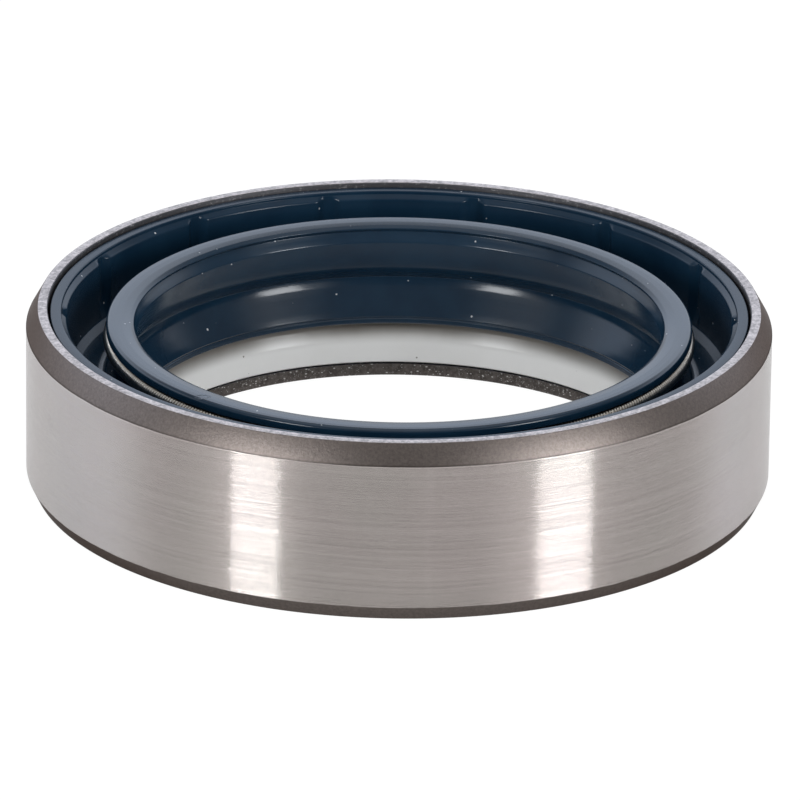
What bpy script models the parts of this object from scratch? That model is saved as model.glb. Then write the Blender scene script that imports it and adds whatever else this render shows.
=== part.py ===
"""Combination rotary shaft seal, resting on its flanged side.

A ground steel case holds a rubber sealing element with a garter spring, stiffened by an L-shaped
ring, and a white dust lip below it. Each piece is a section turned about Z, the shaft's axis, and
the rubber lining is then notched. Metres, +Z up, origin at the centre of the case's bottom face.
"""
import math

import bmesh
import bpy
from mathutils import Matrix, Vector

MM = 0.001

# Nominal sizes
shaft_diameter = 65.0 * MM
radial_section = 12.5 * MM
case_height = 22.0 * MM
seat_gap = 0.3 * MM

# Case
case_wall = 2.6 * MM
case_flange_thickness = 1.6 * MM
case_flange_clearance = 0.3 * MM
case_bend_radius = 1.0 * MM
top_chamfer_width = 1.4 * MM
top_chamfer_height = 2.5 * MM
bottom_chamfer_width = 0.85 * MM
bottom_chamfer_height = 1.75 * MM
rim_edge_break = 0.1 * MM
flange_roll_over = 0.2 * MM

# Stiffening ring inside the rubber
insert_thickness = 0.8 * MM
insert_outer_bend = 1.2 * MM
insert_rim_depth = 1.4 * MM
insert_shaft_clearance = 2.8 * MM

# Dust lip
dust_lip_height = 6.65 * MM
dust_base_thickness = 2.4 * MM
dust_leg_thickness = 2.1 * MM
dust_lip_interference = 0.2 * MM
dust_lip_edge_height = 0.35 * MM
dust_lip_edge_width = 0.35 * MM
dust_lip_base_clearance = 0.35 * MM
dust_lip_root_thickness = 2.2 * MM
dust_shoulder_clearance = 0.8 * MM
dust_cone_height = 3.35 * MM
dust_root_radius = 0.6 * MM

# Rubber heel, between the stiffening ring and the dust lip, with a small lip of its own
foot_thickness = 0.9 * MM
foot_margin = 0.7 * MM
moulded_edge_radius = 0.15 * MM
heel_thickness = 1.6 * MM
heel_drop = 1.65 * MM
heel_lip_interference = 0.55 * MM
heel_groove_depth = 0.2 * MM
heel_groove_width = 0.8 * MM
flange_end_cover = 0.3 * MM

# Cavity floor and rubber lining
floor_thickness = 1.25 * MM
floor_rise = 0.85 * MM
floor_valley_margin = 1.1 * MM
rim_bead_depth = 0.5 * MM
pad_shelf_depth = 0.9 * MM
pad_thickness = 0.6 * MM
pad_edge_drop = 0.45 * MM
pad_edge_radius = 0.25 * MM
notch_count = 14
notch_width = 2.3 * MM
notch_web = 0.3 * MM
notch_bead_step = 0.05 * MM
notch_floor_margin = 1.2 * MM
window_width = 1.3 * MM
window_height = 4.0 * MM
window_depth = 4.9 * MM

# Sealing lip
lip_depth = 1.75 * MM
lip_interference = 0.85 * MM
lip_contact_depth = 2.05 * MM
lip_trim_depth = 0.35 * MM
lip_trim_radial = 0.3 * MM
lip_bevel_width = 0.5 * MM
lip_neck_depth = 0.9 * MM
lip_neck_radial = 0.7 * MM
lip_edge_radius = 0.35 * MM
lip_head_overhang = 0.65 * MM
spring_coil_diameter = 2.0 * MM
spring_seat_radial = 3.05 * MM
spring_offset = 0.15 * MM
membrane_thickness = 1.5 * MM
membrane_groove_lip = 0.35 * MM
membrane_waist_drop = 0.9 * MM
membrane_root_radius = 0.8 * MM
membrane_root_width = 0.9 * MM
membrane_root_dip = 0.25 * MM
air_side_radial = 0.85 * MM
air_side_height = 3.6 * MM
air_corner_radial = 2.35 * MM
funnel_height_above_foot = 3.6 * MM

# Facets
TURN_STEPS = 84
HIDDEN_TURN_STEPS = 56
SPRING_SIDES = 8
GROOVE_ARC_STEPS = 5
NOTCH_ARC_STEPS = 5
WINDOW_SIDES = 8
FILLET_STEP = math.radians(45.0)
SHARPEST_TURN = math.radians(11.0)
FILLET_SHARE = 0.45
MERGE_DISTANCE = 0.02 * MM

# Radii that several pieces share
shaft_radius = shaft_diameter / 2
case_outer_radius = shaft_radius + radial_section
case_bore_radius = case_outer_radius - case_wall
case_flange_bore_radius = shaft_radius + case_flange_clearance
insert_outer_radius = case_bore_radius - seat_gap
insert_inner_radius = insert_outer_radius - insert_thickness
insert_flange_radius = shaft_radius + insert_shaft_clearance
lining_back_radius = insert_inner_radius - seat_gap
notch_radius = lining_back_radius - notch_web
pad_radius = notch_radius - pad_thickness
bead_inner_radius = notch_radius + notch_bead_step
heel_bore_radius = shaft_radius - heel_lip_interference
heel_outer_radius = heel_bore_radius + heel_thickness
contact_radius = shaft_radius - lip_interference
spring_radius = contact_radius + spring_seat_radial

# Heights of the stack, from the case's bottom face upwards
dust_bottom = case_flange_thickness + seat_gap
dust_top = dust_bottom + dust_lip_height
foot_bottom = dust_top + seat_gap
foot_top = foot_bottom + foot_thickness
insert_flange_bottom = foot_top + seat_gap
insert_flange_top = insert_flange_bottom + insert_thickness
floor_underside = insert_flange_top + seat_gap
floor_valley = floor_underside + floor_thickness
floor_crest = floor_valley + floor_rise
heel_bottom = foot_bottom - heel_drop
funnel_top = foot_bottom + funnel_height_above_foot
rim_bead_top = case_height - rim_bead_depth
insert_rim = case_height - insert_rim_depth
pad_shelf = case_height - pad_shelf_depth
lip_top = case_height - lip_depth
contact_height = lip_top - lip_contact_depth
spring_height = contact_height - spring_offset


def make_collection(name):
    """A collection of that name in the scene."""
    collection = bpy.data.collections.new(name)
    bpy.context.scene.collection.children.link(collection)
    return collection


def make_material(name, color, roughness, metallic=0.0):
    """A Principled material with the piece's own colour and finish."""
    material = bpy.data.materials.new(name)
    material.use_nodes = True
    shader = material.node_tree.nodes["Principled BSDF"]
    shader.inputs["Base Color"].default_value = (*color, 1.0)
    shader.inputs["Roughness"].default_value = roughness
    shader.inputs["Metallic"].default_value = metallic
    material.diffuse_color = (*color, 1.0)
    return material


def rounded_corner(before, corner, after, radius):
    """Points of the arc that rounds one corner of a section, or the corner itself."""
    to_before = before - corner
    to_after = after - corner
    opening = to_before.angle(to_after)
    turn = math.pi - opening
    if radius <= 0 or turn < SHARPEST_TURN:
        return [corner]
    shorter_side = min(to_before.length, to_after.length)
    reach = min(radius / math.tan(opening / 2), FILLET_SHARE * shorter_side)
    radius = reach * math.tan(opening / 2)
    bisector = (to_before.normalized() + to_after.normalized()).normalized()
    centre = corner + bisector * (radius / math.sin(opening / 2))
    start = corner + to_before.normalized() * reach - centre
    side = 1 if to_before.cross(to_after) < 0 else -1
    steps = max(1, round(turn / FILLET_STEP))
    return [centre + Matrix.Rotation(side * turn * i / steps, 2) @ start for i in range(steps + 1)]


def rounded_outline(corners):
    """A closed section from (radius, height, fillet) corners."""
    places = [Vector(corner[:2]) for corner in corners]
    outline = []
    for i, corner in enumerate(corners):
        after = places[(i + 1) % len(places)]
        outline += rounded_corner(places[i - 1], places[i], after, corner[2])
    return outline


def turned_piece(name, corners, material, collection, steps=TURN_STEPS):
    """A section turned once about Z. Its corners run down the outer side first."""
    outline = rounded_outline(corners)
    mesh = bpy.data.meshes.new(name)
    edges = [(i, (i + 1) % len(outline)) for i in range(len(outline))]
    mesh.from_pydata([(point.x, 0.0, point.y) for point in outline], edges, [])
    piece = bpy.data.objects.new(name, mesh)
    collection.objects.link(piece)
    mesh.materials.append(material)
    screw = piece.modifiers.new("Turn", "SCREW")
    screw.axis = "Z"
    screw.angle = math.tau
    screw.steps = steps
    screw.render_steps = steps
    screw.use_merge_vertices = True
    screw.merge_threshold = MERGE_DISTANCE
    screw.use_smooth_shade = False
    return piece


def make_outer_case(collection):
    """Drawn cup with a thick ground wall, two chamfers and a sheared flange bore."""
    corners = [
        (case_outer_radius - top_chamfer_width, case_height, 0.0),
        (case_outer_radius, case_height - top_chamfer_height, 0.0),
        (case_outer_radius, bottom_chamfer_height, 0.0),
        (case_outer_radius - bottom_chamfer_width, 0.0, 0.0),
        (case_flange_bore_radius + flange_roll_over, 0.0, 0.0),
        (case_flange_bore_radius, flange_roll_over, 0.0),
        (case_flange_bore_radius, case_flange_thickness, 0.0),
        (case_bore_radius, case_flange_thickness, case_bend_radius),
        (case_bore_radius, case_height - rim_edge_break, 0.0),
        (case_bore_radius + rim_edge_break, case_height, 0.0),
    ]
    steel = make_material("ground_steel", (0.55, 0.53, 0.51), 0.32, 1.0)
    return turned_piece("outer_case", corners, steel, collection)


def make_insert_ring(collection):
    """Pressed L-ring: a cylinder against the case, and a flange towards the shaft."""
    inner_bend = insert_outer_bend - insert_thickness
    corners = [
        (insert_outer_radius, insert_rim, 0.0),
        (insert_outer_radius, insert_flange_bottom, insert_outer_bend),
        (insert_flange_radius, insert_flange_bottom, 0.0),
        (insert_flange_radius, insert_flange_top, 0.0),
        (insert_inner_radius, insert_flange_top, inner_bend),
        (insert_inner_radius, insert_rim, 0.0),
    ]
    steel = make_material("insert_steel", (0.16, 0.12, 0.08), 0.55, 0.6)
    return turned_piece("insert_ring", corners, steel, collection, HIDDEN_TURN_STEPS)


def make_dust_lip(collection):
    """Excluder ring: an outer leg on the case's flange, a base, and a lip down to the shaft."""
    outer_radius = case_bore_radius - seat_gap
    leg_radius = outer_radius - dust_leg_thickness
    shoulder_radius = heel_outer_radius + seat_gap
    shoulder_height = heel_bottom - seat_gap
    base_underside = dust_top - dust_base_thickness
    lip_radius = shaft_radius - dust_lip_interference
    lip_edge_top = dust_bottom + dust_lip_edge_height
    cone_radius = shaft_radius + dust_lip_base_clearance
    root_radius = cone_radius + dust_lip_root_thickness
    corners = [
        (outer_radius, dust_top, 0.0),
        (outer_radius, dust_bottom + case_bend_radius, 0.0),
        (outer_radius - case_bend_radius, dust_bottom, 0.0),
        (leg_radius, dust_bottom, 0.0),
        (leg_radius, base_underside, 0.0),
        (root_radius, base_underside, dust_root_radius),
        (lip_radius + dust_lip_edge_width, dust_bottom, 0.0),
        (lip_radius, lip_edge_top, 0.0),
        (cone_radius, lip_edge_top + dust_cone_height, 0.0),
        (shaft_radius + dust_shoulder_clearance, shoulder_height, 0.0),
        (shoulder_radius, shoulder_height, 0.0),
        (shoulder_radius, dust_top, 0.0),
    ]
    white = make_material("white_polyurethane", (0.72, 0.72, 0.70), 0.4)
    return turned_piece("dust_lip", corners, white, collection)


def spring_groove():
    """The arc of the groove round the spring, from the overhang down to the membrane."""
    groove_radius = spring_coil_diameter / 2 + seat_gap
    overhang_angle = math.acos(lip_head_overhang / groove_radius)
    lower_angle = math.tau - math.acos(-membrane_groove_lip / groove_radius)
    points = []
    for i in range(GROOVE_ARC_STEPS + 1):
        angle = overhang_angle + (lower_angle - overhang_angle) * i / GROOVE_ARC_STEPS
        radius = spring_radius + groove_radius * math.cos(angle)
        points.append((radius, spring_height + groove_radius * math.sin(angle), 0.0))
    return points


def seal_corners():
    """Section of the rubber: lining, cavity floor, membrane, sealing lip and heel."""
    bead_outer_radius = case_bore_radius - seat_gap
    bead_bottom = insert_rim + seat_gap
    foot_outer_radius = insert_outer_radius - foot_margin
    flange_cover_radius = insert_flange_radius - flange_end_cover
    air_corner_radius = contact_radius + air_corner_radial
    air_side_slope = air_side_radial / air_side_height
    groove = spring_groove()
    waist_height = groove[-1][1] - membrane_waist_drop
    waist_radius = contact_radius + air_side_slope * (contact_height - waist_height) + membrane_thickness
    root_radius = air_corner_radius + membrane_thickness
    head_radius = spring_radius + lip_head_overhang
    trim_radius = contact_radius + lip_trim_radial
    groove_top = heel_bottom + 2 * heel_groove_depth + heel_groove_width
    back_and_heel = [
        (bead_outer_radius, rim_bead_top, 0.0),
        (bead_outer_radius, bead_bottom, 0.0),
        (lining_back_radius, bead_bottom, 0.0),
        (lining_back_radius, floor_underside, 0.0),
        (flange_cover_radius, floor_underside, 0.0),
        (flange_cover_radius, foot_top, 0.0),
        (foot_outer_radius, foot_top, 0.0),
        (foot_outer_radius, foot_bottom, 0.0),
        (heel_outer_radius, foot_bottom, 0.0),
        (heel_outer_radius, heel_bottom, 0.0),
    ]
    bore_side = [
        (heel_bore_radius + heel_groove_depth, heel_bottom, 0.0),
        (heel_bore_radius, heel_bottom + heel_groove_depth, 0.0),
        (heel_bore_radius + heel_groove_depth, heel_bottom + 2 * heel_groove_depth, 0.0),
        (heel_bore_radius, groove_top, 0.0),
        (air_corner_radius, funnel_top, 0.0),
        (contact_radius + air_side_radial, contact_height - air_side_height, 0.0),
        (contact_radius, contact_height, 0.0),
        (contact_radius + lip_neck_radial, lip_top - lip_neck_depth, 0.0),
        (trim_radius, lip_top - lip_trim_depth, 0.0),
        (trim_radius + lip_bevel_width, lip_top, 0.0),
    ]
    head_and_membrane = [(head_radius, lip_top, lip_edge_radius)] + groove + [
        (waist_radius, waist_height, 0.0),
        (root_radius, floor_crest - membrane_root_dip, membrane_root_radius),
        (root_radius + membrane_root_width, floor_crest, 0.0),
    ]
    lining = [
        (pad_radius - floor_valley_margin, floor_valley, 0.0),
        (pad_radius, floor_crest, 0.0),
        (pad_radius, pad_shelf - pad_edge_drop, pad_edge_radius),
        (bead_inner_radius, pad_shelf, 0.0),
        (bead_inner_radius, rim_bead_top, moulded_edge_radius),
    ]
    return back_and_heel + bore_side + head_and_membrane + lining


def make_notch_cutter(collection):
    """D-shaped bars that cut the notches between the pads of the lining."""
    half_width = notch_width / 2
    arc_radius = (half_width**2 + pad_thickness**2) / (2 * pad_thickness)
    arc_centre = notch_radius - arc_radius
    overcut = pad_thickness / 2
    half_angle = math.acos((arc_radius - pad_thickness - overcut) / arc_radius)
    bottom = floor_crest + notch_floor_margin
    tool = bmesh.new()
    for k in range(notch_count):
        turn = Matrix.Rotation(math.tau * k / notch_count, 4, "Z")
        arc = []
        for i in range(NOTCH_ARC_STEPS + 1):
            angle = half_angle * (2 * i / NOTCH_ARC_STEPS - 1)
            place = Vector((arc_centre + arc_radius * math.cos(angle), arc_radius * math.sin(angle), bottom))
            arc.append(tool.verts.new(turn @ place))
        base = tool.faces.new(reversed(arc))
        top = bmesh.ops.extrude_face_region(tool, geom=[base])
        raised = [item for item in top["geom"] if isinstance(item, bmesh.types.BMVert)]
        bmesh.ops.translate(tool, verts=raised, vec=(0.0, 0.0, case_height + overcut - bottom))
    bmesh.ops.recalc_face_normals(tool, faces=tool.faces)
    return cutter_object("notch_cutter", tool, collection)


def make_window_cutter(collection):
    """Oval pegs that bare the stiffening ring low in each notch, where the mould's pins held it."""
    length = 2 * (pad_thickness + notch_web)
    tool = bmesh.new()
    for k in range(notch_count):
        turn = Matrix.Rotation(math.tau * k / notch_count, 4, "Z")
        place = Matrix.Translation((notch_radius, 0.0, case_height - window_depth))
        squash = Matrix.Diagonal((1.0, window_width / window_height, 1.0, 1.0))
        aim = Matrix.Rotation(math.pi / 2, 4, "Y") @ Matrix.Rotation(math.pi / WINDOW_SIDES, 4, "Z")
        bmesh.ops.create_cone(tool, cap_ends=True, segments=WINDOW_SIDES, radius1=window_height / 2,
                              radius2=window_height / 2, depth=length, matrix=turn @ place @ squash @ aim)
    return cutter_object("window_cutter", tool, collection)


def cutter_object(name, tool, collection):
    """The finished cutter as a hidden wireframe object."""
    mesh = bpy.data.meshes.new(name)
    tool.to_mesh(mesh)
    tool.free()
    cutter = bpy.data.objects.new(name, mesh)
    collection.objects.link(cutter)
    cutter.hide_render = True
    cutter.display_type = "WIRE"
    return cutter


def make_seal_element(collection, cutters):
    """The rubber moulding, turned whole and then notched."""
    blue = make_material("blue_rubber", (0.025, 0.055, 0.095), 0.42)
    seal = turned_piece("seal_element", seal_corners(), blue, collection)
    for name, cutter in (("Notches", make_notch_cutter(cutters)), ("Windows", make_window_cutter(cutters))):
        cut = seal.modifiers.new(name, "BOOLEAN")
        cut.operation = "DIFFERENCE"
        cut.solver = "EXACT"
        cut.object = cutter
    return seal


def make_garter_spring(collection):
    """The closed coil spring, as the ring that its close turns fill."""
    bpy.ops.mesh.primitive_torus_add(major_radius=spring_radius, minor_radius=spring_coil_diameter / 2,
                                     major_segments=TURN_STEPS, minor_segments=SPRING_SIDES,
                                     location=(0.0, 0.0, spring_height))
    spring = bpy.context.object
    spring.name = "garter_spring"
    for old in list(spring.users_collection):
        old.objects.unlink(spring)
    collection.objects.link(spring)
    spring.data.materials.append(make_material("spring_steel", (0.48, 0.45, 0.40), 0.3, 1.0))
    return spring


def main():
    for old in list(bpy.data.objects):
        bpy.data.objects.remove(old)
    parts = make_collection("rotary_shaft_seal")
    cutters = make_collection("cutters")
    make_outer_case(parts)
    make_insert_ring(parts)
    make_dust_lip(parts)
    make_seal_element(parts, cutters)
    make_garter_spring(parts)


main()
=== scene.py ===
"""Looks of the rotary shaft seal: turned skins, a wound garter spring, materials, light and camera."""
import math

import bpy
import numpy as np
from mathutils import Matrix, Vector


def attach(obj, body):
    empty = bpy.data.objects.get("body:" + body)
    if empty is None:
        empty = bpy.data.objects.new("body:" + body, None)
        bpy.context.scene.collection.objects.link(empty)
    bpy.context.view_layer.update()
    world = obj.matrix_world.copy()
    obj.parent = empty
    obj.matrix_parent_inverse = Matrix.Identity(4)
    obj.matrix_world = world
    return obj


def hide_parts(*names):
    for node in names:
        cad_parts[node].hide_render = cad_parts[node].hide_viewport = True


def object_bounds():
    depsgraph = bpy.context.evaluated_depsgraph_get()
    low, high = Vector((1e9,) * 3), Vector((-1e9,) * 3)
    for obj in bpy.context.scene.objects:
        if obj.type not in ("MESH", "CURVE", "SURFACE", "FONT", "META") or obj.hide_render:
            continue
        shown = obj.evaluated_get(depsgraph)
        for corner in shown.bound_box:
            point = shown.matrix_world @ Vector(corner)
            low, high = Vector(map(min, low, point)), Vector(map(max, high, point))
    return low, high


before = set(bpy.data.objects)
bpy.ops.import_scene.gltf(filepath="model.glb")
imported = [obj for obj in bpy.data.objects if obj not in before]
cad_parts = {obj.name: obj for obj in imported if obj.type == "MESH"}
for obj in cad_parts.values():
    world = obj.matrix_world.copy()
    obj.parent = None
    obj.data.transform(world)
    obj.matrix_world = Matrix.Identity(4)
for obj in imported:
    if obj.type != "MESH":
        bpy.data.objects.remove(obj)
cad_box = [list(corner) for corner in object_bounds()]

MM = 0.001

# Sizes in millimetres, as the solids have them. GAP lies between pieces that are bonded or pressed together
OUTER, RIM = (cad_box[1][axis] / MM for axis in (0, 2))
WALL = 2.6
BORE = OUTER - WALL
CHAMFER_FOOT, CHAMFER_WIDTH = RIM - 2.5, 1.4
BOTTOM_CHAMFER, BOTTOM_CHAMFER_WIDTH = 1.75, 0.85
FLANGE, FLANGE_BORE = 1.6, 32.8
GAP = 0.3
LINING_BACK = 41.0
NOTCH = 40.7
PAD = 40.1
BEAD = 40.75
CONTACT = 31.65
LIP_TOP = RIM - 1.75
SPRING_RING, SPRING_HEIGHT = 34.7, RIM - 3.95
GROOVE = 1.3
FLOOR_VALLEY, FLOOR_CREST = 12.4, 13.25
NOTCHES = 14
PITCH = 360.0 / NOTCHES

# The spring's turns, and the radii of its coil and of its wire in millimetres
TURNS, COIL, WIRE = 482, 0.785, 0.21

# Edges that turn by more than this many degrees stay sharp
SHARP = 32.0

# Colours, as a pair where a finish runs from a darker to a lighter tone
WHITE = (1.0, 1.0, 1.0)
GROUND_STEEL = (0.50, 0.46, 0.432), (0.515, 0.459, 0.438)
SCALE = (0.152, 0.132, 0.123), (0.262, 0.222, 0.202)
SCALE_EDGE = (0.42, 0.39, 0.38)
RIM_STEEL = (0.47, 0.42, 0.40), (0.53, 0.474, 0.452)
INNER_STEEL = (0.11, 0.108, 0.115), (0.46, 0.44, 0.45)
TORN_STEEL = (0.07, 0.06, 0.055), (0.165, 0.145, 0.133)
TORN_GLINT = (0.75, 0.73, 0.71)
RUBBER = (0.0048, 0.0185, 0.038), (0.007, 0.025, 0.049)
DUST = (0.6, 0.62, 0.65)
BROWN_STEEL = (0.05, 0.035, 0.012), (0.16, 0.11, 0.045)
POLYURETHANE = (0.90, 0.893, 0.87), (0.93, 0.924, 0.905)
UNDER_HEEL_SHADE = (0.16, 0.138, 0.112)
DIRT = (0.10, 0.08, 0.06)
WIRE_STEEL = (0.55, 0.51, 0.45), (0.78, 0.74, 0.68)
GROUND = (0.85, 0.85, 0.85)
LAMP_LIGHT = (0.95, 0.975, 1.0)
BACKDROP_LIGHT = (0.75, 0.84, 1.0)

# Marks on the surface, in metres: the nick on the lip's edge, and the painted upright streak of light on the
# wall's near side
NICK = (-0.0231, -0.0256, 0.0201)
LIGHT_STREAK_X, LIGHT_STREAK_REACH, LIGHT_STREAK_CORE = 0.0038, 0.0006, 0.0003


def arc_corner(before, corner, after, radius, step):
    """Points that round one corner of a section, or the corner itself where it is sharp."""
    to_before, to_after = Vector(before) - Vector(corner), Vector(after) - Vector(corner)
    opening = to_before.angle(to_after)
    turn = math.pi - opening
    if radius <= 0 or turn < 0.02:
        return [tuple(corner)]
    reach = min(radius / math.tan(opening / 2), 0.48 * min(to_before.length, to_after.length))
    radius = reach * math.tan(opening / 2)
    bisector = (to_before.normalized() + to_after.normalized()).normalized()
    centre = Vector(corner) + bisector * (radius / math.sin(opening / 2))
    start = Vector(corner) + to_before.normalized() * reach - centre
    side = 1 if to_before.cross(to_after) < 0 else -1
    steps = max(2, math.ceil(turn / math.radians(step)))
    return [tuple(centre + Matrix.Rotation(side * turn * i / steps, 2) @ start) for i in range(steps + 1)]


def section(corners, step=18.0):
    """Rounded section from (radius, height, fillet, finish) corners. A finish starts at its corner."""
    points, finishes = [], []
    for i, corner in enumerate(corners):
        after = corners[(i + 1) % len(corners)]
        arc = arc_corner(corners[i - 1][:2], corner[:2], after[:2], corner[2], step)
        points += arc
        finishes += [corner[3]] * len(arc)
    return points, finishes


def split_long(points, finishes, longest):
    """The section with its long sides divided."""
    out, kinds = [], []
    for i, point in enumerate(points):
        after = points[(i + 1) % len(points)]
        cuts = max(1, math.ceil(math.dist(point, after) / longest))
        for k in range(cuts):
            out.append(tuple(point[j] + (after[j] - point[j]) * k / cuts for j in (0, 1)))
            kinds.append(finishes[i])
    return out, kinds


def closed_grid(rows, columns):
    """Quads of a grid of points that closes on itself both ways."""
    row, column = np.arange(rows)[:, None], np.arange(columns)[None, :]
    below, beside = (row + 1) % rows, (column + 1) % columns
    return np.stack([row * columns + column, row * columns + beside, below * columns + beside,
                     below * columns + column], axis=-1).reshape(-1, 4)


def add_object(name, data):
    """A new object in the scene."""
    made = bpy.data.objects.new(name, data)
    bpy.context.scene.collection.objects.link(made)
    return made


def turned_skin(name, points, finishes, angles, materials, nodes, shape=None):
    """A closed turned mesh through the section at the given angles. A shape moves its radii."""
    angles = np.radians(np.asarray(angles, dtype=float))
    section_points = np.array(points)
    rows, columns = len(section_points), len(angles)
    radius = np.repeat(section_points[:, 0][:, None], columns, axis=1)
    height = np.repeat(section_points[:, 1][:, None], columns, axis=1)
    turn = np.repeat(angles[None, :], rows, axis=0)
    kinds = np.array([materials.index(finish) for finish in finishes])[:, None].repeat(columns, axis=1)
    if shape:
        radius = shape(radius, height, turn)
    places = np.stack([radius * np.cos(turn), radius * np.sin(turn), height], axis=-1).reshape(-1, 3) * MM
    mesh = bpy.data.meshes.new(name)
    mesh.from_pydata(places.tolist(), [], closed_grid(rows, columns)[:, ::-1].tolist())
    for finish in materials:
        mesh.materials.append(MATERIALS[finish])
    mesh.polygons.foreach_set("material_index", kinds.reshape(-1).astype(np.int32))
    mesh.shade_smooth()
    mesh.set_sharp_from_angle(angle=math.radians(SHARP))
    piece = add_object(name, mesh)
    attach(piece, "root")
    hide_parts(*nodes)
    return piece


class Nodes:
    """A node tree, with short calls for the nodes used here."""

    def __init__(self, tree):
        self.tree = tree

    def feed(self, socket, value):
        """Links the socket to another one, or sets the number, vector or colour on it."""
        if isinstance(value, bpy.types.NodeSocket):
            self.tree.links.new(value, socket)
        elif socket.type == "RGBA":
            socket.default_value = (*value, 1.0)
        else:
            socket.default_value = value

    def node(self, kind, inputs=None, **settings):
        made = self.tree.nodes.new(kind)
        for key, value in settings.items():
            setattr(made, key, value)
        for key, value in (inputs or {}).items():
            self.feed(made.inputs[key], value)
        return made

    def math(self, operation, a, b=0.0):
        return self.node("ShaderNodeMath", {0: a, 1: b}, operation=operation).outputs[0]

    def product(self, first, *others):
        """The first number times all the others."""
        for other in others:
            first = self.math("MULTIPLY", first, other)
        return first

    def sum(self, base, *parts):
        """The base plus each part times its amount."""
        for part, amount in parts:
            base = self.math("ADD", base, self.math("MULTIPLY", part, amount))
        return base

    def band(self, value, start, end, low=0.0, high=1.0):
        """Smooth step from low at start to high at end."""
        made = self.node("ShaderNodeMapRange", {"Value": value, "From Min": start, "From Max": end,
                                                "To Min": low, "To Max": high},
                         interpolation_type="SMOOTHSTEP")
        return made.outputs[0]

    def mix(self, factor, a, b):
        """Blend of two colours."""
        return self.node("ShaderNodeMix", {0: factor, 6: a, 7: b}, data_type="RGBA").outputs[2]

    def mix_value(self, factor, a, b):
        """Blend of two numbers."""
        return self.node("ShaderNodeMix", {0: factor, 2: a, 3: b}).outputs[0]

    def mix_shader(self, factor, a, b):
        return self.node("ShaderNodeMixShader", {0: factor, 1: a, 2: b}).outputs[0]

    def split(self, vector):
        return self.node("ShaderNodeSeparateXYZ", {0: vector}).outputs

    def vector(self, x, y, z):
        return self.node("ShaderNodeCombineXYZ", {0: x, 1: y, 2: z}).outputs[0]

    def vectors(self, operation, *vectors):
        """Result of an operation on vectors."""
        return self.node("ShaderNodeVectorMath", dict(enumerate(vectors)), operation=operation).outputs[0]

    def length(self, vector):
        return self.node("ShaderNodeVectorMath", {0: vector}, operation="LENGTH").outputs["Value"]

    def gain(self, vector, amount):
        """Colour or vector times a number."""
        return self.node("ShaderNodeVectorMath", {0: vector, 3: amount}, operation="SCALE").outputs[0]


class Shader(Nodes):
    """A material's nodes, with the place on the object in metres: x, y, z, and r from the axis."""

    def __init__(self, name):
        self.material = bpy.data.materials.new(name)
        self.material.use_nodes = True
        super().__init__(self.material.node_tree)
        self.bsdf = self.tree.nodes["Principled BSDF"]
        self.place = self.node("ShaderNodeTexCoord").outputs["Object"]
        self.x, self.y, self.z = self.split(self.place)
        self.r = self.length(self.vector(self.x, self.y, 0.0))

    def noise(self, vector, detail=2.0, roughness=0.5):
        """Noise about zero, mostly within plus and minus one half."""
        made = self.node("ShaderNodeTexNoise", {"Vector": vector, "Scale": 1.0, "Detail": detail,
                                                "Roughness": roughness})
        return self.math("SUBTRACT", made.outputs[0], 0.5)

    def round_noise(self, around, upward, detail=2.0, roughness=0.5):
        """Noise with its own density per metre round the part and along its axis."""
        place = self.vectors("MULTIPLY", self.place, (around, around, upward))
        return self.noise(place, detail, roughness)

    def even_noise(self, density, detail=2.0, roughness=0.5):
        """Noise with the same density per metre every way."""
        return self.round_noise(density, density, detail, roughness)

    def ring_noise(self, outward, upward, detail, roughness):
        """Noise that is the same all the way round, by radius and, unless upward is zero, by height."""
        rise = self.math("MULTIPLY", self.z, upward) if upward else 0.0
        return self.noise(self.vector(self.math("MULTIPLY", self.r, outward), rise, 0.0), detail, roughness)

    def tones(self, noise, reach, colors):
        """Colour that runs with the noise from the first to the second of a pair."""
        return self.mix(self.band(noise, -reach, reach), *colors)

    def specks(self, density, size, share, squash=(1.0, 1.0, 1.0), ragged=0.0):
        """Sparse specks of mixed sizes: one where a random share of the cells has a dot."""
        smallest, firm = 0.4, 0.6
        place = self.vectors("MULTIPLY", self.place, squash)
        cells = self.node("ShaderNodeTexVoronoi", {"Vector": place, "Scale": density})
        draw = self.split(cells.outputs["Color"])
        chosen = self.math("LESS_THAN", draw[0], share)
        reach = self.math("DIVIDE", cells.outputs["Distance"], self.math("ADD", smallest, draw[1]))
        if ragged:
            reach = self.sum(reach, (self.even_noise(9000.0, 1.0), ragged))
        return self.product(self.band(reach, size, firm * size), chosen)

    def bump(self, height, distance, strength, normal=None):
        inputs = {"Height": height, "Distance": distance, "Strength": strength}
        if normal is not None:
            inputs["Normal"] = normal
        return self.node("ShaderNodeBump", inputs).outputs[0]

    def set(self, **values):
        """Feeds the shader's own sockets and gives the material back."""
        for key, value in values.items():
            self.feed(self.bsdf.inputs[key.replace("_", " ")], value)
        return self.material


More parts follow.
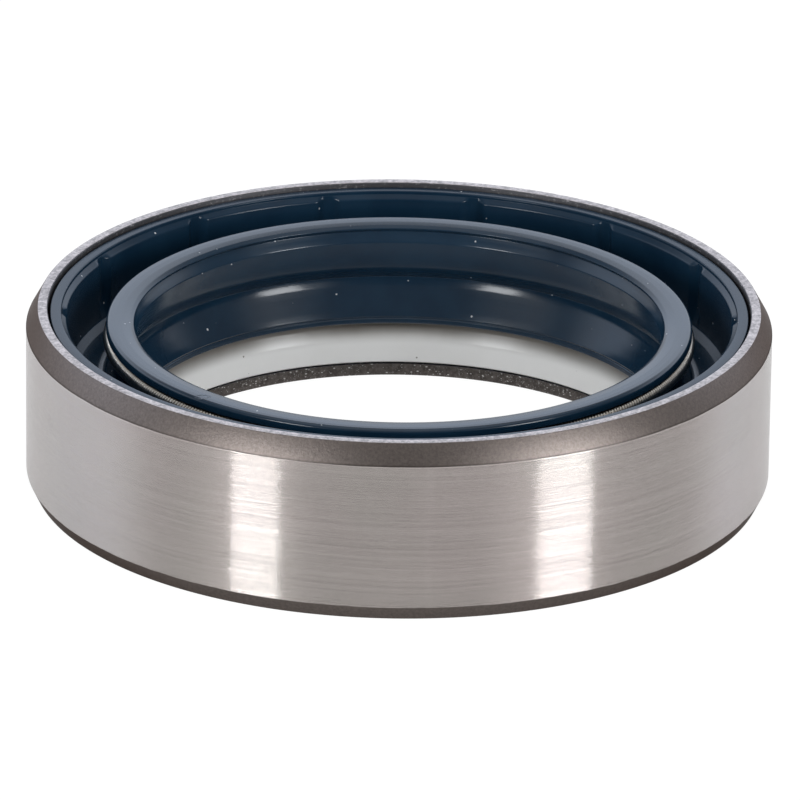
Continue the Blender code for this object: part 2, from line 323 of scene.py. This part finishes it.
def ground_wall():
    """Outside of the case: fine grinding lines round it, and dark unground chamfers at both ends, the bottom
    one darker still with painted shade.
    """
    s = Shader("ground_wall")
    lines_per_mm, line_tilt, broad_tilt, most_swing = 1300.0, 1.8, 0.008, 0.012
    wander = s.even_noise(300.0, 3.0)
    top = s.sum(s.z, (wander, 0.12 * MM))
    chamfer = s.band(top, (CHAMFER_FOOT - 0.04) * MM, (CHAMFER_FOOT + 0.04) * MM)
    low = s.sum(s.z, (wander, 0.3 * MM))
    bottom = s.band(low, (BOTTOM_CHAMFER + 0.06) * MM, (BOTTOM_CHAMFER - 0.06) * MM)
    dark = s.math("MAXIMUM", chamfer, bottom)

    # Each grinding line leans by its own amount
    wavy_z = s.math("ADD", s.math("MULTIPLY", s.z, 1.0 / MM), s.even_noise(40.0, 1.0))
    line = s.math("FLOOR", s.math("MULTIPLY", wavy_z, lines_per_mm))
    draw = s.node("ShaderNodeTexWhiteNoise", {"W": line}, noise_dimensions="1D")
    fine = s.math("SUBTRACT", draw.outputs[0], 0.5)
    broad = s.round_noise(170.0, 9000.0, 3.0, 0.7)
    tilt = s.sum(s.math("MULTIPLY", fine, line_tilt), (broad, broad_tilt))
    tilt = s.math("MULTIPLY", tilt, s.mix_value(dark, 1.0, 0.05))
    swing = s.math("MULTIPLY", s.round_noise(25.0, 420.0, 1.0), most_swing)
    normal = s.node("ShaderNodeNewGeometry").outputs["Normal"]
    across = s.vectors("CROSS_PRODUCT", (0.0, 0.0, 1.0), normal)
    leaning = s.vectors("ADD", s.vector(0.0, 0.0, tilt), s.gain(across, swing))
    leaning = s.vectors("NORMALIZE", s.vectors("ADD", normal, leaning))
    grit = s.even_noise(4200.0, 3.0, 0.7)
    leaning = s.bump(grit, 0.04 * MM, s.mix_value(dark, 0.01, 0.7), leaning)

    # Ground metal with its clouds, streaks, scratches and pits, a painted highlight line under the chamfer
    # and a painted streak of light
    cloud = s.round_noise(75.0, 90.0, 3.0, 0.6)
    hue = s.even_noise(60.0)
    streak = s.round_noise(260.0, 5200.0, 3.0, 0.7)
    scratch = s.band(s.round_noise(420.0, 7500.0, 2.0, 0.6), -0.205, -0.26)
    pit = s.specks(150.0, 0.022, 0.3, ragged=0.02)
    # Painted light: a faint upright streak on the near side of the wall, brighter in its colour
    painted_light_streak = s.band(s.math("ABSOLUTE", s.math("SUBTRACT", s.x, LIGHT_STREAK_X)), LIGHT_STREAK_REACH, LIGHT_STREAK_CORE)
    painted_light_streak = s.product(painted_light_streak, s.math("LESS_THAN", s.y, 0.0))
    # Painted highlight: a light line just under the top chamfer's foot
    painted_edge_highlight = s.band(top, (CHAMFER_FOOT - 0.18) * MM, (CHAMFER_FOOT - 0.06) * MM)
    bright = s.sum(1.0, (cloud, 0.15), (streak, 0.07), (grit, 0.06), (scratch, -0.2), (pit, -0.4),
                   (painted_light_streak, 0.035), (painted_edge_highlight, 0.22))
    steel = s.gain(s.tones(hue, 0.2, GROUND_STEEL), bright)

    # Unground scale of the chamfers, darker at the foot of the top one; the bottom one, which faces the
    # floor, carries painted shade all over
    shade = 0.6
    scale = s.tones(s.even_noise(3000.0, 4.0, 0.8), 0.3, SCALE)
    foot = s.band(top, (CHAMFER_FOOT + 0.28) * MM, (CHAMFER_FOOT + 0.05) * MM)
    scale = s.gain(scale, s.mix_value(s.product(foot, chamfer), 1.0, shade))
    # Painted shade on the downward-facing bottom chamfer
    scale = s.gain(scale, s.mix_value(bottom, 1.0, shade))
    coarse = s.band(s.split(draw.outputs[1])[1], 0.5, 1.0)
    rough = s.mix_value(dark, s.mix_value(coarse, 0.07, 0.3), 0.37)
    return s.set(Base_Color=s.mix(dark, steel, scale), Metallic=1.0, Roughness=rough,
                 Specular_Tint=s.mix(dark, WHITE, SCALE_EDGE), Normal=leaning)


def rim_steel():
    """Narrow flat rim: bright, slightly grainy and blotched."""
    s = Shader("rim_steel")
    rings = s.ring_noise(9000.0, 0.0, 3.0, 0.7)
    grain = s.even_noise(2600.0, 3.0, 0.7)
    blotch = s.band(s.even_noise(1300.0, 3.0, 0.7), -0.2, 0.2, -0.5, 0.5)
    bright = s.sum(1.0, (grain, 0.4), (rings, 0.15), (blotch, 0.6))
    return s.set(Base_Color=s.gain(s.tones(grain, 0.2, RIM_STEEL), bright), Metallic=1.0, Roughness=0.33,
                 Normal=s.bump(s.math("ADD", grain, rings), 0.018 * MM, 0.5))


def inner_steel():
    """Drawn inner wall of the case: dark with thin light streaks round it."""
    s = Shader("inner_steel")
    streak = s.round_noise(350.0, 7000.0, 4.0, 0.8)
    grain = s.even_noise(1800.0, 3.0, 0.8)
    light = s.band(s.math("ADD", streak, grain), 0.05, 0.35)
    return s.set(Base_Color=s.mix(light, *INNER_STEEL), Metallic=0.8, Roughness=0.5,
                 Normal=s.bump(grain, 0.03 * MM, 0.5))


def sheared_steel():
    """Edge of the flange's bore, torn by the punch, and the plain face under it."""
    s = Shader("sheared_steel")
    large = s.specks(1.0, 0.34, 0.34, (2600.0, 2600.0, 4200.0))
    small = s.specks(1.0, 0.3, 0.4, (5200.0, 5200.0, 6500.0))
    edge = s.band(s.r, (FLANGE_BORE + 0.2) * MM, (FLANGE_BORE + 0.1) * MM)
    glint = s.product(s.math("MAXIMUM", large, s.math("MULTIPLY", small, 0.6)), edge, 0.8)
    mottle = s.even_noise(1500.0, 4.0, 0.7)
    color = s.mix(glint, s.tones(mottle, 0.25, TORN_STEEL), TORN_GLINT)
    return s.set(Base_Color=color, Metallic=0.75, Roughness=0.45, Normal=s.bump(mottle, 0.04 * MM, 0.6))


def blue_rubber():
    """Dark blue nitrile with a satin face, faint mould marks, dust specks and a nick on the lip."""
    s = Shader("blue_rubber")
    grain = s.even_noise(3500.0, 3.0, 0.6)
    cloud = s.even_noise(140.0, 3.0, 0.6)
    dust = s.specks(480.0, 0.06, 0.7, ragged=0.06)
    color = s.mix(s.math("MULTIPLY", dust, 0.85), s.tones(cloud, 0.25, RUBBER), DUST)

    # Mould marks, the finer rings of the trimmed face, and the nick
    trimmed = s.product(s.band(s.z, (RIM - 1.95) * MM, (RIM - 1.85) * MM),
                        s.band(s.r, 35.6 * MM, 35.4 * MM))
    cuts = s.ring_noise(3800.0, 0.0, 3.0, 0.75)
    rings = s.sum(s.ring_noise(2500.0, 2500.0, 2.0, 0.6), (s.product(cuts, trimmed), 5.0))
    away = s.vectors("MULTIPLY", s.vectors("SUBTRACT", s.place, NICK), (1200.0, 1900.0, 1500.0))
    nick = s.band(s.math("ADD", s.length(away), grain), 1.25, 0.75)
    height = s.sum(grain, (rings, 0.8), (nick, -9.0))

    # The cavity and the lip's air side reflect less than the rest, the trimmed face more
    cavity = s.band(s.r, 35.8 * MM, 36.3 * MM)
    undercut = s.product(s.band(s.z, 13.0 * MM, 14.0 * MM), s.band(s.z, 17.8 * MM, 15.4 * MM))
    gloss = s.mix_value(trimmed, s.mix_value(s.math("MAXIMUM", cavity, undercut), 0.42, 0.24), 0.56)
    rough = s.sum(s.mix_value(cavity, 0.15, 0.23), (cloud, 0.06))
    return s.set(Base_Color=color, Roughness=rough, IOR=1.52, Specular_IOR_Level=gloss,
                 Normal=s.bump(height, 0.012 * MM, 0.35))


def window_steel():
    """The stiffening ring where the mould's pins bared it: brown and dull."""
    s = Shader("window_steel")
    mottle = s.even_noise(900.0, 4.0, 0.7)
    return s.set(Base_Color=s.tones(mottle, 0.25, BROWN_STEEL), Metallic=0.5, Roughness=0.5,
                 Normal=s.bump(mottle, 0.04 * MM, 0.5))


def white_polyurethane():
    """Milky white polyurethane, darker and brownish towards its top with painted shade under the heel, and a
    few dark specks.
    """
    s = Shader("white_polyurethane")
    cloud = s.even_noise(120.0, 3.0, 0.6)
    grain = s.even_noise(2200.0, 3.0, 0.6)
    # Painted shade: the upper part, under the rubber heel, turns darker and brownish
    painted_shade = s.band(s.sum(s.z, (cloud, 0.6 * MM)), 4.1 * MM, 6.5 * MM)
    dirt = s.specks(520.0, 0.05, 0.5, ragged=0.09)
    color = s.mix(s.math("MULTIPLY", painted_shade, 0.92), s.tones(cloud, 0.25, POLYURETHANE), UNDER_HEEL_SHADE)
    color = s.mix(s.math("MULTIPLY", dirt, 0.75), color, DIRT)
    return s.set(Base_Color=color, Roughness=0.27, IOR=1.5, Normal=s.bump(grain, 0.01 * MM, 0.25))


def spring_steel():
    """Bright drawn wire."""
    s = Shader("spring_steel")
    grain = s.even_noise(1500.0, 3.0, 0.7)
    return s.set(Base_Color=s.tones(grain, 0.25, WIRE_STEEL), Metallic=1.0, Roughness=0.28,
                 Normal=s.bump(grain, 0.01 * MM, 0.3))


MATERIALS = {
    "wall": ground_wall(),
    "rim": rim_steel(),
    "inner": inner_steel(),
    "sheared": sheared_steel(),
    "rubber": blue_rubber(),
    "window": window_steel(),
    "white": white_polyurethane(),
    "spring": spring_steel(),
}


def make_case():
    """Case: ground outside, plain rim, drawn inside and sheared flange."""
    corners = [
        (OUTER - CHAMFER_WIDTH, RIM, 0.05, "wall"),
        (OUTER, CHAMFER_FOOT, 0.03, "wall"),
        (OUTER, BOTTOM_CHAMFER, 0.03, "wall"),
        (OUTER - BOTTOM_CHAMFER_WIDTH, 0.0, 0.08, "sheared"),
        (FLANGE_BORE, 0.0, 0.25, "sheared"),
        (FLANGE_BORE, FLANGE, 0.05, "inner"),
        (BORE, FLANGE, 1.0, "inner"),
        (BORE, RIM - 0.1, 0.02, "inner"),
        (BORE + 0.1, RIM, 0.02, "rim"),
    ]
    points, finishes = split_long(*section(corners), 3.0)
    return turned_skin("case_skin", points, finishes, np.arange(0.0, 360.0, 1.0),
                       ["wall", "rim", "inner", "sheared"], ["outer_case"])


def notch_shape(radius, height, turn):
    """Radii with the notches cut into the lining, between pads with round ends."""
    half_open, flank, foot_start, foot_rise = 0.45, 1.15, 0.4, 1.3
    offset = np.degrees(turn) % PITCH
    offset = np.radians(np.minimum(offset, PITCH - offset)) * PAD
    open_share = 1 - np.clip((offset - half_open) / flank, 0, 1)
    open_share = open_share * open_share * (3 - 2 * open_share)
    lining = (radius > PAD - 0.7) & (radius < BEAD) & (height > FLOOR_CREST + 0.05) & (height < RIM - 0.85)
    foot = np.clip((height - FLOOR_CREST - foot_start) / foot_rise, 0, 1)
    depth = open_share * foot * foot * (3 - 2 * foot)
    return radius + np.where(lining, np.maximum(0, NOTCH - radius) * depth, 0)


def lining_angles():
    """Angles close together at the notches and wide between them."""
    steps = [0.0, 0.4, 0.7, 1.0, 1.3, 1.6, 1.9, 2.2, 2.5, 3.2, 4.4, 6.0, 7.7, 9.4, 11.1, PITCH / 2]
    half = steps + [PITCH - step for step in reversed(steps[1:-1])]
    return [k * PITCH + step for k in range(NOTCHES) for step in half]


def seal_section():
    """Section of the rubber: back and heel, bore side, lip head, spring groove, membrane and lining."""
    upper, lower = math.acos(0.65 / GROOVE), math.tau - math.acos(-0.35 / GROOVE)
    groove = []
    for i in range(13):
        angle = upper + (lower - upper) * i / 12
        groove.append((SPRING_RING + GROOVE * math.cos(angle), SPRING_HEIGHT + GROOVE * math.sin(angle), 0.0))
    back_and_heel = [
        (BORE - GAP, RIM - 0.5, 0.15), (BORE - GAP, RIM - 1.1, 0.0), (LINING_BACK, RIM - 1.1, 0.0),
        (LINING_BACK, 11.15, 0.2), (35.0, 11.15, 0.0), (35.0, 9.75, 0.0), (41.4, 9.75, 0.1),
        (41.4, 8.85, 0.1), (33.55, 8.85, 0.0), (33.55, 7.2, 0.2),
    ]
    bore_side = [
        (32.15, 7.2, 0.12), (31.9, 7.4, 0.05), (31.96, 7.85, 0.05), (32.1, 7.97, 0.03), (31.99, 8.25, 0.05),
        (33.98, 11.75, 2.2), (34.24, 12.65, 0.12), (32.5, 14.6, 5.0), (CONTACT, RIM - 3.85, 0.3),
        (32.37, LIP_TOP - 0.9, 0.08), (31.95, LIP_TOP - 0.38, 0.1), (32.5, LIP_TOP - 0.13, 0.3),
        (33.5, LIP_TOP - 0.02, 1.5), (34.3, LIP_TOP, 1.0), (35.35, LIP_TOP, 0.85),
    ]
    membrane = [(33.66, 15.9, 0.6), (35.5, 13.0, 0.9), (36.4, FLOOR_CREST, 0.4)]
    lining = [
        (PAD - 1.1, FLOOR_VALLEY, 0.5), (PAD, FLOOR_CREST, 0.4), (PAD, RIM - 1.35, 0.4),
        (BEAD, RIM - 0.9, 0.08), (BEAD, RIM - 0.5, 0.15),
    ]
    corners = back_and_heel + bore_side + groove + membrane + lining
    points, finishes = section([(*corner, "rubber") for corner in corners], 12.0)
    return split_long(points, finishes, 1.0)


def make_seal():
    """Sealing element with its lips, and the notches in its lining."""
    points, finishes = seal_section()
    return turned_skin("seal_skin", points, finishes, lining_angles(), ["rubber"],
                       ["seal_element"], shape=notch_shape)


def make_dust_lip():
    """Excluder ring: outer leg, base, and the lip that runs down to the shaft."""
    outer = BORE - GAP
    corners = [
        (outer, 8.55, 0.2), (outer, 2.9, 0.2), (outer - 1.0, 1.9, 0.2), (outer - 2.1, 1.9, 0.2),
        (outer - 2.1, 6.15, 0.6), (35.05, 6.15, 0.6), (32.55, 1.9, 0.03), (32.33, 2.1, 0.05),
        (32.95, 4.7, 1.2), (33.6, 6.1, 0.5), (33.85, 6.5, 0.0), (33.85, 8.55, 0.0),
    ]
    points, finishes = split_long(*section([(*corner, "white") for corner in corners]), 1.5)
    return turned_skin("dust_lip_skin", points, finishes, np.arange(0.0, 360.0, 1.5), ["white"],
                       ["dust_lip"])


def make_spring():
    """The coil as a wire wound round a circle, with its ends joined."""
    steps, sides, nudge = 14, 6, 1e-5
    count = TURNS * steps
    t = np.arange(count) * math.tau / count

    def path(t, wind):
        reach = SPRING_RING + COIL * np.cos(wind)
        return np.stack([reach * np.cos(t), reach * np.sin(t), SPRING_HEIGHT + COIL * np.sin(wind)], axis=-1)

    here = path(t, t * TURNS)
    ahead = path(t + nudge, (t + nudge) * TURNS) - here
    ahead /= np.linalg.norm(ahead, axis=1)[:, None]
    centre = np.stack([SPRING_RING * np.cos(t), SPRING_RING * np.sin(t), np.full_like(t, SPRING_HEIGHT)],
                      axis=-1)
    out = here - centre
    out -= ahead * np.sum(out * ahead, axis=1)[:, None]
    out /= np.linalg.norm(out, axis=1)[:, None]
    beside = np.cross(ahead, out)
    around = np.arange(sides) * math.tau / sides
    rings = (here[:, None, :] + WIRE * (np.cos(around)[None, :, None] * out[:, None, :]
                                        + np.sin(around)[None, :, None] * beside[:, None, :]))
    mesh = bpy.data.meshes.new("spring_coil")
    mesh.from_pydata((rings.reshape(-1, 3) * MM).tolist(), [], closed_grid(count, sides).tolist())
    mesh.materials.append(MATERIALS["spring"])
    mesh.shade_smooth()
    piece = add_object("spring_coil", mesh)
    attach(piece, "root")
    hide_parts("garter_spring")
    return piece


def make_floor():
    """White ground that keeps a faint shadow, just under the part and clear from below.

    The camera sees mostly its glow. Reflections see a part of it, and none of it inside the bore, where the
    missing glow is a painted shadow of the seal.
    """
    half, low = 4.0, -0.03 * MM
    seen, mirrored = 0.9, 0.415
    hidden_to, open_from = 27.0 * MM, 34.0 * MM
    mesh = bpy.data.meshes.new("floor")
    corners = [(-half, -half, low), (half, -half, low), (half, half, low), (-half, half, low)]
    mesh.from_pydata(corners, [], [(0, 1, 2, 3)])
    s = Shader("floor")
    s.set(Base_Color=GROUND, Roughness=0.9, Specular_IOR_Level=0.1)
    glow = s.node("ShaderNodeEmission", {"Color": WHITE, "Strength": 1.08}).outputs[0]
    # Painted shadow: reflections lose the glow inside the bore, under the seal
    open_floor = s.node("ShaderNodeMapRange", {"Value": s.length(s.place), "From Min": hidden_to,
                                               "From Max": open_from, "To Min": 0.0, "To Max": mirrored})
    path = s.node("ShaderNodeLightPath").outputs
    share = s.math("MULTIPLY", path["Is Camera Ray"], seen)
    for ray in ("Is Glossy Ray", "Is Transmission Ray"):
        share = s.math("MAXIMUM", share, s.math("MULTIPLY", path[ray], open_floor.outputs[0]))
    from_above = s.mix_shader(share, s.bsdf.outputs[0], glow)
    from_below = s.node("ShaderNodeBsdfTransparent").outputs[0]
    back = s.node("ShaderNodeNewGeometry").outputs["Backfacing"]
    s.feed(s.tree.nodes["Material Output"].inputs["Surface"], s.mix_shader(back, from_above, from_below))
    mesh.materials.append(s.material)
    floor = add_object("floor", mesh)


def softbox(name, azimuth, elevation, width, height, radiance, mirrored=True):
    """A rectangular soft lamp a metre away, aimed at the object. Reflections show it only if mirrored."""
    lamp = bpy.data.lights.new(name, "AREA")
    lamp.shape = "RECTANGLE"
    lamp.size = width
    lamp.size_y = height
    lamp.color = LAMP_LIGHT
    lamp.energy = radiance * math.pi * width * height
    az, el = math.radians(azimuth), math.radians(elevation)
    place = Vector((math.cos(az) * math.cos(el), math.sin(az) * math.cos(el), math.sin(el)))
    holder = add_object(name, lamp)
    holder.visible_glossy = mirrored
    holder.location = place
    holder.rotation_euler = place.to_track_quat("Z", "Y").to_euler()


def make_world():
    """Studio: a bright bluish backdrop low behind the object, weaker glows beside the camera and overhead.

    The camera itself sees plain white.
    """
    world = bpy.data.worlds.new("studio")
    bpy.context.scene.world = world
    world.use_nodes = True
    s = Nodes(world.node_tree)
    x, y, z = s.split(s.node("ShaderNodeTexCoord").outputs["Generated"])
    behind = s.band(s.sum(y, (x, -0.2)), -0.2, 0.4)
    low = s.product(s.band(z, 0.8, 0.3), s.band(z, 0.1, 0.32, 0.45, 1.0))
    backdrop = s.product(behind, low)
    aside = s.math("ABSOLUTE", x)
    glow = s.product(s.band(aside, 0.37, 0.62), s.band(aside, 0.9, 0.74), s.band(y, 0.0, -0.3, 0.0, 0.9),
                     s.band(z, 0.65, 0.4))
    above = s.band(z, 0.72, 0.92, 0.0, 0.5)
    total = s.math("ADD", s.math("ADD", glow, above), s.band(backdrop, 0.0, 1.0, 0.23, 1.5))
    total = s.product(total, s.band(y, -0.8, -0.97, 1.0, 0.5))
    studio = s.tree.nodes["Background"]
    s.feed(studio.inputs["Strength"], total)
    s.feed(studio.inputs["Color"], s.mix(backdrop, WHITE, BACKDROP_LIGHT))
    white = s.node("ShaderNodeBackground", {"Color": WHITE}).outputs[0]
    seen = s.node("ShaderNodeLightPath").outputs["Is Camera Ray"]
    s.feed(s.tree.nodes["World Output"].inputs["Surface"], s.mix_shader(seen, studio.outputs[0], white))


def make_camera():
    """The photograph's view: 21.4 degrees above the rim, from afar."""
    elevation, distance = math.radians(21.362), 1.1818
    dip, pan, roll = math.radians(0.5451), -0.000194, 0.013024
    sensor, focal_pixels, photo_pixels = 36.0, 9803.5, 800
    data = bpy.data.cameras.new("camera")
    data.sensor_width = sensor
    data.lens = focal_pixels / photo_pixels * sensor
    camera = add_object("camera", data)
    aim = (Matrix.Rotation(pan, 4, "Z") @ Matrix.Rotation(math.pi / 2 - elevation - dip, 4, "X")
           @ Matrix.Rotation(roll, 4, "Z"))
    place = (0.0, -distance * math.cos(elevation), RIM * MM + distance * math.sin(elevation))
    camera.matrix_world = Matrix.Translation(place) @ aim
    bpy.context.scene.camera = camera


make_case()
make_seal()
make_dust_lip()
make_spring()
for material_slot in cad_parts["insert_ring"].material_slots:
    material_slot.material = MATERIALS["window"]
make_floor()
make_world()
softbox("left_softbox", azimuth=227.5, elevation=16.0, width=0.25, height=0.42, radiance=9.5)
softbox("right_softbox", azimuth=320.9, elevation=16.0, width=0.295, height=0.42, radiance=9.5)
softbox("front_softbox", azimuth=270.0, elevation=52.0, width=0.5, height=0.3, radiance=3.8, mirrored=False)
make_camera()
bpy.context.scene.view_settings.view_transform = "Standard"
